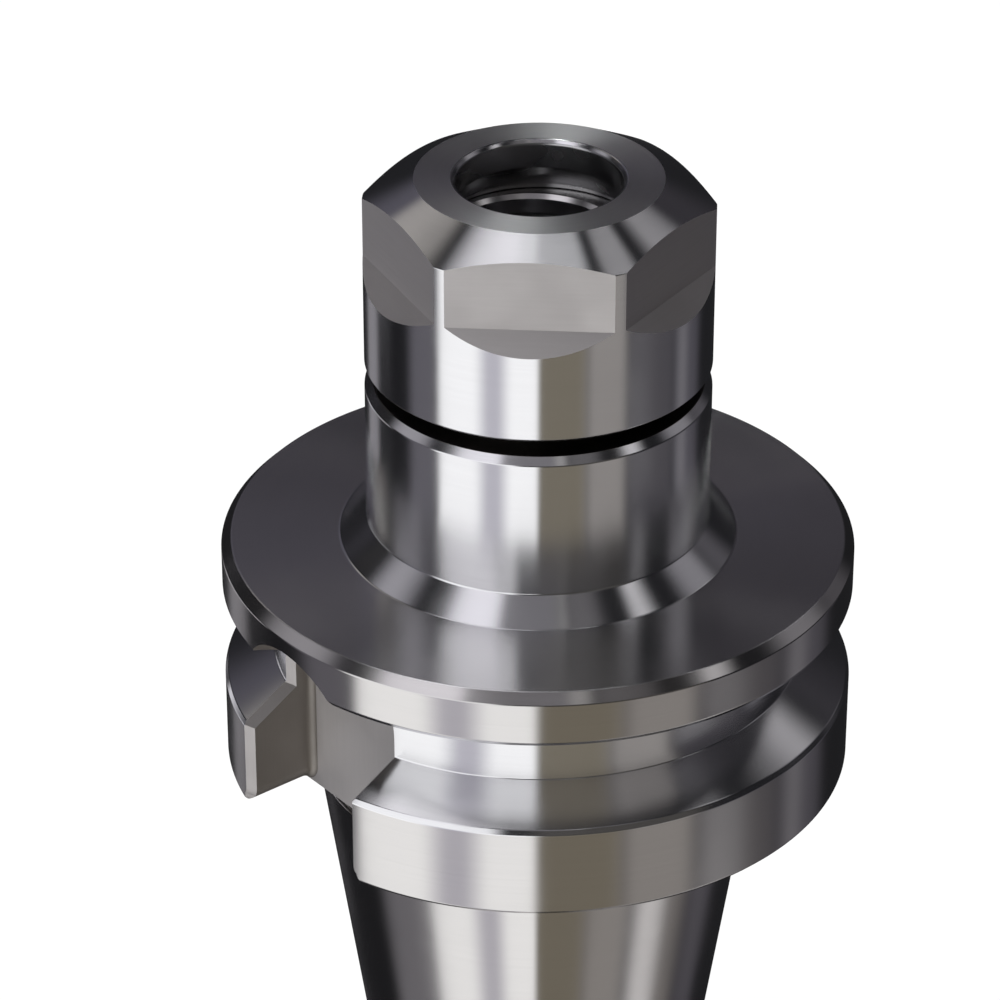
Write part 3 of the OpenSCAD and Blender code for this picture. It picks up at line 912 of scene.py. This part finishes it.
def hang_studio(tree, front, power):
    """The world's nodes: white behind the object, and the studio's boxes in its steel."""
    way = add(tree, "ShaderNodeTexCoord").outputs["Generated"]
    part = add(tree, "ShaderNodeSeparateXYZ", {0: way}).outputs
    flat = add(tree, "ShaderNodeCombineXYZ", {0: part["X"], 1: part["Y"]}).outputs[0]
    level = add(tree, "ShaderNodeVectorMath", {0: flat}, operation="NORMALIZE").outputs[0]
    height = add(tree, "ShaderNodeMath", {0: part["Z"]}, operation="ARCSINE").outputs[0]
    above = add(tree, "ShaderNodeMath", {0: part["Z"], 1: 0.001}, operation="MAXIMUM").outputs[0]
    aside = add(
        tree, "ShaderNodeVectorMath", {0: way, 1: towards(front + math.pi / 2)},
        operation="DOT_PRODUCT")
    on_right = add(
        tree, "ShaderNodeMath", {0: aside.outputs["Value"], 1: 0.0}, operation="GREATER_THAN")
    is_high = add(
        tree, "ShaderNodeMath", {0: height, 1: math.radians(DIVIDE)}, operation="GREATER_THAN")
    # Each ray meets one part of the studio and works out only the boxes there, which takes a
    # third less time
    heights = []
    for high in (False, True):
        sides = []
        for side in (-1, 1):
            shown = hang_softboxes(tree, linear("#1E1E20"), front, level, height, side, high)
            if high:
                shown = hang_ceiling(tree, shown, front, way, above)
            sides.append(add(
                tree, "ShaderNodeBackground", {"Color": shown, "Strength": power}).outputs[0])
        heights.append(add(tree, "ShaderNodeMixShader", {
            0: on_right.outputs[0], 1: sides[0], 2: sides[1]}).outputs[0])
    boxes = add(tree, "ShaderNodeMixShader", {
        0: is_high.outputs[0], 1: heights[0], 2: heights[1]})
    white = add(tree, "ShaderNodeBackground", {"Color": (1, 1, 1, 1), "Strength": 1.0})
    seen = add(tree, "ShaderNodeLightPath").outputs["Is Camera Ray"]
    both = add(tree, "ShaderNodeMixShader", {0: seen, 1: boxes.outputs[0], 2: white.outputs[0]})
    end = add(tree, "ShaderNodeOutputWorld")
    tree.links.new(both.outputs[0], end.inputs[0])


class CHUCK_OT_stage(bpy.types.Operator):
    """Set up the camera, the floor and the studio light"""
    bl_idname = "chuck.stage"
    bl_label = "Studio"

    def execute(self, context):
        s = context.scene.studio_sizes
        scene = context.scene
        camera = bpy.data.objects.new("camera", bpy.data.cameras.new("camera"))
        camera.data.lens = s.lens
        camera.data.sensor_width = 36
        camera.location = s.camera
        sight = Vector(s.aim) - Vector(s.camera)
        camera.rotation_euler = sight.to_track_quat("-Z", "Y").to_euler()
        scene.collection.objects.link(camera)
        scene.camera = camera
        scene.view_settings.view_transform = "Standard"

        # The floor stands for white paper. Steel sees the softboxes instead of it, as it
        # would over a floor of glass
        floor = lofted("floor", [
            [(x, y, CAD_BOX[0].z + z) for x, y in ((-4, -4), (4, -4), (4, 4), (-4, 4))]
            for z in (-0.002, 0)], self.paper(s.floor))
        floor.visible_glossy = False

        # One soft lamp overhead throws the object's shadow
        lamp = bpy.data.objects.new("overhead", bpy.data.lights.new("overhead", "AREA"))
        lamp.data.shape = "DISK"
        lamp.data.size = 0.9
        lamp.data.energy = 14
        lamp.location = (-0.15, 0.1, 1.1)
        lamp.rotation_euler = (-lamp.location).to_track_quat("-Z", "Y").to_euler()
        lamp.visible_glossy = False
        scene.collection.objects.link(lamp)

        world = bpy.data.worlds.new("studio")
        world.use_nodes = True
        scene.world = world
        tree = world.node_tree
        tree.nodes.clear()
        hang_studio(tree, s.front, s.level)
        return {"FINISHED"}

    def paper(self, tint):
        """White background paper: matt, with a shadow that stays pale."""
        material = bpy.data.materials.new("white_paper")
        material.use_nodes = True
        tree = material.node_tree
        tree.nodes.clear()
        # To the camera most of the paper glows, and the rest shows the object's shadow
        lit = add(tree, "ShaderNodeBsdfDiffuse", {"Color": tint})
        glow = add(tree, "ShaderNodeEmission", {"Color": (1, 1, 1, 1), "Strength": 1.04})
        seen = add(tree, "ShaderNodeLightPath").outputs["Is Camera Ray"]
        share = add(tree, "ShaderNodeMath", {0: seen, 1: 0.85}, operation="MULTIPLY")
        both = add(tree, "ShaderNodeMixShader", {
            0: share.outputs[0], 1: lit.outputs[0], 2: glow.outputs[0]})
        end = add(tree, "ShaderNodeOutputMaterial")
        tree.links.new(both.outputs[0], end.inputs[0])
        return material


SIZE_GROUPS = {
    "holder_sizes": HolderSizes,
    "slot_sizes": SlotSizes,
    "nut_sizes": NutSizes,
    "ring_sizes": RingSizes,
    "steel_colours": SteelColours,
    "studio_sizes": StudioSizes,
}
STEPS = [CHUCK_OT_stage, CHUCK_OT_holder, CHUCK_OT_nut, CHUCK_OT_ring, CHUCK_OT_threads]


class CHUCK_PT_panel(bpy.types.Panel):
    """Steps, sizes and colours of the collet chuck holder"""
    bl_idname = "CHUCK_PT_panel"
    bl_label = "Collet chuck holder"
    bl_space_type = "VIEW_3D"
    bl_region_type = "UI"
    bl_category = "Chuck"

    def draw(self, context):
        for step in STEPS:
            self.layout.operator(step.bl_idname)
        for name, group in SIZE_GROUPS.items():
            box = self.layout.box()
            box.label(text=name.replace("_", " ").capitalize())
            for prop in group.__annotations__:
                box.prop(getattr(context.scene, name), prop)


def register():
    for group in SIZE_GROUPS.values():
        bpy.utils.register_class(group)
    for name, group in SIZE_GROUPS.items():
        setattr(bpy.types.Scene, name, PointerProperty(type=group))
    for step in STEPS:
        bpy.utils.register_class(step)
    bpy.utils.register_class(CHUCK_PT_panel)


def unregister():
    bpy.utils.unregister_class(CHUCK_PT_panel)
    for step in reversed(STEPS):
        bpy.utils.unregister_class(step)
    for name in SIZE_GROUPS:
        delattr(bpy.types.Scene, name)
    for group in reversed(SIZE_GROUPS.values()):
        bpy.utils.unregister_class(group)


def main():
    register()
    bpy.ops.chuck.stage()
    bpy.ops.chuck.holder()
    bpy.ops.chuck.nut()
    bpy.ops.chuck.ring()
    bpy.ops.chuck.threads()


if __name__ == "__main__":
    main()
